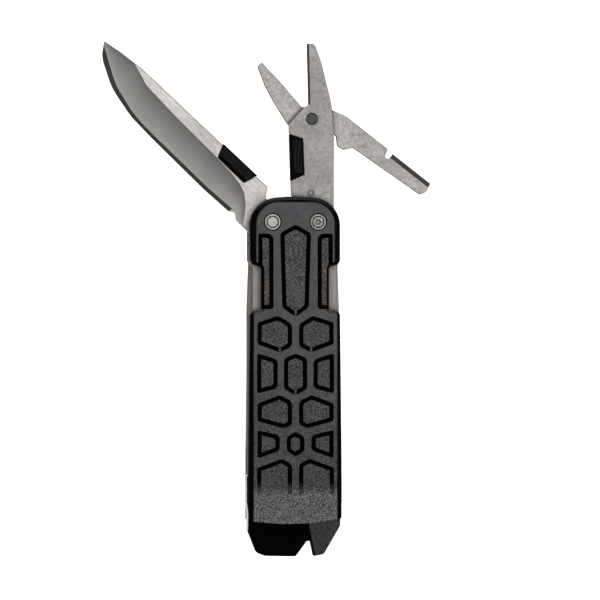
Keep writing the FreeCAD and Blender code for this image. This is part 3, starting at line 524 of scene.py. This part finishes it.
def along(points, y):
    """The value at y, both in metres, along (value, y) points, which are in mm and rise in y."""
    points = [(value * MM, place * MM) for value, place in points]
    for (x0, y0), (x1, y1) in zip(points, points[1:]):
        if y <= y1:
            return x0 + (x1 - x0) * max(0.0, (y - y0) / (y1 - y0))
    return points[-1][0]


# ---- knife blade ----------------------------------------------------------------------------------------


def crossings(segments, y):
    """The smallest and largest x at which the segments cross a line across the blade."""
    found = []
    for a, b in segments:
        if (a.y - y) * (b.y - y) < 0:
            found.append(a.x + (b.x - a.x) * (y - a.y) / (b.y - a.y))
    return min(found), max(found)


def blade_stations(foot, tip):
    """Where the blade is cut across: evenly, and closely at the heel and the pad pocket's corners."""
    margin = 0.02 * MM
    heel_marks = [5.0, 6.5, 8.0, 9.35, 9.45, 9.6]
    pocket_marks = [corner + step for corner in (10.4, 11.6, 20.7, 22.0) for step in (-0.03, 0.03)]
    stations = spread(foot + margin, tip - margin, 141)
    stations = sorted(stations + [mark * MM for mark in heel_marks + pocket_marks])
    return [y for i, y in enumerate(stations) if i == 0 or y - stations[i - 1] > margin]


def hollow_columns(y, low, grind, full):
    """(x, half thickness) from the edge over its bevel and the hollow grind up to the grind line."""
    shoulder = 0.34 * MM
    hollow_width = 7.2 * MM
    hollow_power = 1.7
    edge_half = 0.02 * MM
    plunge_start = 4.0 * MM
    plunge_length = 12.0 * MM
    ground = y > HEEL
    bevel = min(along(EDGE_BEVEL, y), 0.4 * (grind - low)) if ground else 0.2 * (grind - low)
    plunge = min(1.0, 0.15 + 0.85 * max(0.0, y - plunge_start) / plunge_length)
    columns = []
    for x in [low] + spread(low + bevel, grind, HOLLOW_STEPS):
        sunk = plunge * min((grind - x) / hollow_width, 1.0)
        columns.append([x, shoulder + (full - shoulder) * (1.0 - sunk) ** hollow_power])
    if ground:
        columns[0][1] = edge_half
    return columns


def blade_section(y, low, high, full):
    """(x, half thickness) from the edge to the spine; HOLE_COLUMN and the next one bound the pivot hole."""
    chamfer = 0.15 * MM
    margin = 0.02 * (high - low)
    grind = min(max(along(GRIND_LINE, y), low + margin), high - margin)
    if y < GRIND_FOOT:
        grind = low + margin
    flat = high - grind
    centre = 0.0 if abs(y) < 2 * BLADE_HOLE else (grind + high) / 2
    centre = min(max(centre, grind + 0.1 * flat), high - 0.1 * flat)
    half_hole = math.sqrt(max(0.0, BLADE_HOLE**2 - y**2))
    inset = min(chamfer, 0.3 * flat)
    columns = hollow_columns(y, low, grind, full)
    columns += [[centre - half_hole, full], [centre + half_hole, full]]
    columns += [[high - inset, full], [high, full - inset]]
    return columns


def skin_blade(work, uv, stations, upper, under):
    """Covers the rows of vertices: edge bevel, hollow grind, flats, pivot hole and both ends."""
    flat_slot, hollow_slot, edge_slot = 0, 1, 2
    last = len(upper[0]) - 1

    def add_face(corners, slot, across=(0.0, 0.0, 0.0, 0.0)):
        face = work.faces.new(corners)
        face.material_index = slot
        for loop, value in zip(face.loops, across):
            loop[uv].uv = (value, 0.0)

    for i in range(len(stations) - 1):
        in_hole = abs(stations[i] + stations[i + 1]) / 2 < BLADE_HOLE
        for j in range(last):
            if j == HOLE_COLUMN and in_hole:
                continue
            slot = flat_slot
            if j < HOLLOW_STEPS:
                slot = edge_slot if j == 0 and stations[i] >= HEEL else hollow_slot
            start = 1.0 - (j - 1) / (HOLLOW_STEPS - 1)
            end = 1.0 - j / (HOLLOW_STEPS - 1)
            across = (start, end, end, start)
            for sheet, order in ((upper, 1), (under, -1)):
                corners = [sheet[i][j], sheet[i][j + 1], sheet[i + 1][j + 1], sheet[i + 1][j]]
                add_face(corners[::order], slot, across[::order])
        walls = [0, last] + ([HOLE_COLUMN, HOLE_COLUMN + 1] if in_hole else [])
        for j in walls:
            add_face([upper[i][j], upper[i + 1][j], under[i + 1][j], under[i][j]], flat_slot)
    for i in (0, len(stations) - 1):
        for j in range(last):
            add_face([upper[i][j], under[i][j], under[i][j + 1], upper[i][j + 1]], flat_slot)


def make_knife_blade():
    """The drop point blade with a hollow grind, a fine edge bevel and a plunge at the heel."""
    source = node_mesh("knife_blade", KNIFE_TURN, KNIFE_PIVOT)
    segments = [(edge.verts[0].co.copy(), edge.verts[1].co.copy()) for edge in source.edges]
    lengths = [vert.co.y for vert in source.verts]
    heights = [vert.co.z for vert in source.verts]
    source.free()
    middle = (min(heights) + max(heights)) / 2
    full = (max(heights) - min(heights)) / 2
    stations = blade_stations(min(lengths), max(lengths))
    rows = [blade_section(y, *crossings(segments, y), full) for y in stations]
    work = bmesh.new()
    uv = work.loops.layers.uv.new("across")
    upper = [[work.verts.new((x, y, middle + half)) for x, half in row] for y, row in zip(stations, rows)]
    under = [[work.verts.new((x, y, middle - half)) for x, half in row] for y, row in zip(stations, rows)]
    skin_blade(work, uv, stations, upper, under)
    bmesh.ops.remove_doubles(work, verts=work.verts, dist=0.002 * MM)
    materials = [blade_flat, blade_hollow, shaded_blade_edge]
    piece = finish_piece(
        "knife_blade_ground", work, materials, "knife_blade", KNIFE_TURN, KNIFE_PIVOT
    )
    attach(piece, "knife")


# ---- other detailed pieces ------------------------------------------------------------------------------


def make_pry_bar():
    """The pry bar with the second facet that is ground to the right of its nail notch."""
    low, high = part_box("pry_bar")
    work = node_mesh("pry_bar")
    facet_start = Vector((3.6 * MM, -36.4 * MM, 0.0))
    facet_end = Vector((5.1 * MM, -43.2 * MM, 0.0))
    facet_slope = 0.09
    under_cover = -35.0 * MM
    bright_foot = -38.2 * MM
    touch = 0.001 * MM
    off_middle = 0.2 * MM
    black_slot, facet_slot, bright_slot = 0, 1, 2
    away = (facet_start - facet_end).cross(Vector((0.0, 0.0, 1.0))).normalized()
    cut_through(work, facet_start, away)
    cut_through(work, Vector((0.0, under_cover, 0.0)), Vector((0.0, 1.0, 0.0)))
    middle = (low.z + high.z) / 2
    front = [vert for vert in work.verts if vert.co.z > middle + off_middle]
    for vert in front:
        reach = (vert.co - facet_start).dot(away)
        if reach > 0 and vert.co.y < under_cover - touch:
            vert.co.z -= facet_slope * reach
    for face in work.faces:
        centre = face.calc_center_median()
        on_side = abs(face.normal.z) < 0.2
        past_start = (centre - facet_start).dot(away) > 0
        on_facet = centre.z > middle and past_start and face.normal.z > 0.2
        if centre.y < under_cover and on_facet:
            face.material_index = facet_slot
        elif on_side and centre.y > bright_foot:
            face.material_index = bright_slot
        else:
            face.material_index = black_slot
    materials = [black_steel, black_facet, bright_side]
    piece = finish_piece("pry_bar_ground", work, materials, "pry_bar")
    round_edges(piece, 0.12 * MM, 35.0)
    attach(piece, "handle")


def make_scissor_spring():
    """The leaf spring, cut into short lengths so that its mesh can follow a bend when the lever closes."""
    low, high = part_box("scissor_spring")
    work = node_mesh("scissor_spring")
    for y in spread(low.y, high.y, 26)[1:-1]:
        cut_through(work, Vector((0.0, y, 0.0)), Vector((0.0, 1.0, 0.0)))
    piece = finish_piece("scissor_spring_leaf", work, [pivot_steel], "scissor_spring")
    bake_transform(piece)


# ---- camera and studio ----------------------------------------------------------------------------------


def make_camera():
    """A long lens looking down on the front cover, a few degrees from the left."""
    aim = Vector(((COVER_LOW.x + COVER_HIGH.x) / 2 + 1.1 * MM, 19.2 * MM, COVER_HIGH.z))
    distance = 0.9
    side = math.radians(5.5)
    view_width = 149.05 * MM
    camera = bpy.data.cameras.new("camera")
    camera.sensor_width = 36.0
    camera.lens = camera.sensor_width * distance / view_width
    camera.clip_start = 0.01
    camera.clip_end = 10.0
    holder = bpy.data.objects.new("camera", camera)
    bpy.context.scene.collection.objects.link(holder)
    back = Vector((-math.sin(side), 0.0, math.cos(side)))
    right = Vector((0.0, 1.0, 0.0)).cross(back)
    up = back.cross(right)
    turn = Matrix((right, up, back)).transposed().to_4x4()
    holder.matrix_world = Matrix.Translation(aim + back * distance) @ turn
    bpy.context.scene.camera = holder


def make_floor():
    """A pale floor just under the tool; its faint glow lifts the shadows."""
    bpy.ops.mesh.primitive_plane_add(size=3.0, location=(0.0, 0.0, BACK_LOW.z - 0.02 * MM))
    floor = bpy.context.object
    floor.name = "floor"
    look = Shader("floor", Roughness=0.9, Emission_Color=WHITE, Emission_Strength=0.55)
    cloudy = look.noise(30.0)
    look.set("Base Color", look.mix(look.vary(cloudy, 0.0, 1.0), grey(0.86), grey(0.88)))
    floor.data.materials.append(look.material)


def make_sky():
    """A bright sky for the steel to reflect, a little brighter overhead than at the horizon."""
    horizon_strength = 0.85
    overhead_strength = 0.95
    world = bpy.data.worlds.new("studio")
    bpy.context.scene.world = world
    world.use_nodes = True
    nodes = world.node_tree.nodes
    links = world.node_tree.links
    sky = nodes["Background"]
    sky.inputs["Color"].default_value = SKY_COLOUR
    direction = nodes.new("ShaderNodeTexCoord")
    split = nodes.new("ShaderNodeSeparateXYZ")
    rise = nodes.new("ShaderNodeMapRange")
    rise.inputs["To Min"].default_value = horizon_strength
    rise.inputs["To Max"].default_value = overhead_strength
    links.new(direction.outputs["Generated"], split.inputs[0])
    links.new(split.outputs["Z"], rise.inputs["Value"])
    links.new(rise.outputs["Result"], sky.inputs["Strength"])


def make_light(name, place, size, power):
    """A square softbox that faces the middle of the tool."""
    aim = Vector((0.0, 0.02, 0.0))
    light = bpy.data.lights.new(name, "AREA")
    light.shape = "SQUARE"
    light.size = size
    light.energy = power
    holder = bpy.data.objects.new(name, light)
    bpy.context.scene.collection.objects.link(holder)
    holder.location = place
    holder.rotation_euler = (aim - Vector(place)).to_track_quat("-Z", "Y").to_euler()


# ---- scene ----------------------------------------------------------------------------------------------

make_camera()
make_floor()
make_sky()
make_light("key", (0.95, -0.2, 0.85), 1.5, 16.0)
make_light("fill", (-0.8, 0.6, 0.9), 1.5, 11.0)
make_light("low", (-0.2, -1.0, 0.7), 1.4, 6.0)
bpy.context.scene.view_settings.view_transform = "Standard"

cover_front = cover_finish("cover_front", COVER_HIGH.z, -1.0)
cover_back = cover_finish("cover_back", BACK_LOW.z, 1.0)
plate_steel = steel_finish("plate_steel", 0.26, tumbled=1.0)
lever_steel = steel_finish("lever_steel", 0.31, tumbled=1.3)
# side is the painted tone of a piece's upright sides: near black painted shade on the tools and the centre
# liner, lighter than the face as painted light on the outer liners
tool_steel = steel_finish("tool_steel", 0.3, tumbled=1.0, side=0.02)
liner_look = {"tumbled": 0.3, "crowd": 0.4, "rim": 0.1, "warmth": 0.05}
liner_steel = steel_finish("liner_steel", 0.2, 0.0, side=0.28, **liner_look)
centre_steel = steel_finish("centre_steel", 0.2, 0.0, side=0.02, **liner_look)
pivot_steel = steel_finish("pivot_steel", 0.33, tumbled=0.4, crowd=0.0, rim=0.1)
driven_steel = steel_finish("driven_steel", 0.27, tumbled=1.8, crowd=0.0, rim=0.1)
blade_flat = steel_finish("blade_flat", 0.47, KNIFE_TURN, tumbled=0.7)
pin_steel = steel_finish("pin_steel", 0.07, tumbled=1.0)
blade_hollow = grind_finish("blade_hollow", 0.25, KNIFE_TURN, hollow=True)
# painted shade: the edge bevel's near-black tone stands for the shade on a face turned away from the light
shaded_blade_edge = grind_finish("shaded_blade_edge", 0.03, KNIFE_TURN, hollow=False)
bright_side = grind_finish("bright_side", 0.17, 0.0, hollow=False)
black_steel = black_steel_finish("black_steel", 0.0004, 0.002)
black_facet = black_steel_finish("black_facet", 0.005, 0.16, brush_turn=math.radians(-20))
dark_screw = black_steel_finish("dark_screw", 0.05, 0.4, wear=0.2)
grip = grip_finish("grip")
bronze = bronze_finish("bronze")

# each CAD node's finish, and the width in mm to which its edges are rounded
FINISHES = {
    "front_cover": (cover_front, 0.12),
    "back_cover": (cover_back, 0.12),
    "front_liner": (liner_steel, 0.06),
    "centre_liner": (centre_steel, 0.06),
    "back_liner": (liner_steel, 0.06),
    "left_pivot_barrel": (pivot_steel, 0.06),
    "right_pivot_barrel": (pivot_steel, 0.06),
    "left_pivot_screw": (pivot_steel, 0.05),
    "right_pivot_screw": (driven_steel, 0.05),
    "pivot_washers": (bronze, 0.02),
    "scissor_bush": (pivot_steel, 0.05),
    "stop_pins": (pivot_steel, 0.05),
    "detent_balls": (pivot_steel, 0.0),
    "handle_screws": (dark_screw, 0.08),
    "front_spacer": (grip, 0.1),
    "back_spacer": (grip, 0.1),
    "knife_pad": (grip, 0.05),
    "scissor_plate": (plate_steel, 0.1),
    "scissor_pad": (grip, 0.05),
    "scissor_pin": (pin_steel, 0.18),
    "scissor_lever": (lever_steel, 0.14),
    "spring_rivet": (plate_steel, 0.0),
    "bottle_opener": (tool_steel, 0.07),
    "file_tool": (tool_steel, 0.05),
}
for node, (material, width) in FINISHES.items():
    dress(node, material)
    if width:
        soften(node, width * MM)
make_knife_blade()
make_pry_bar()
make_scissor_spring()
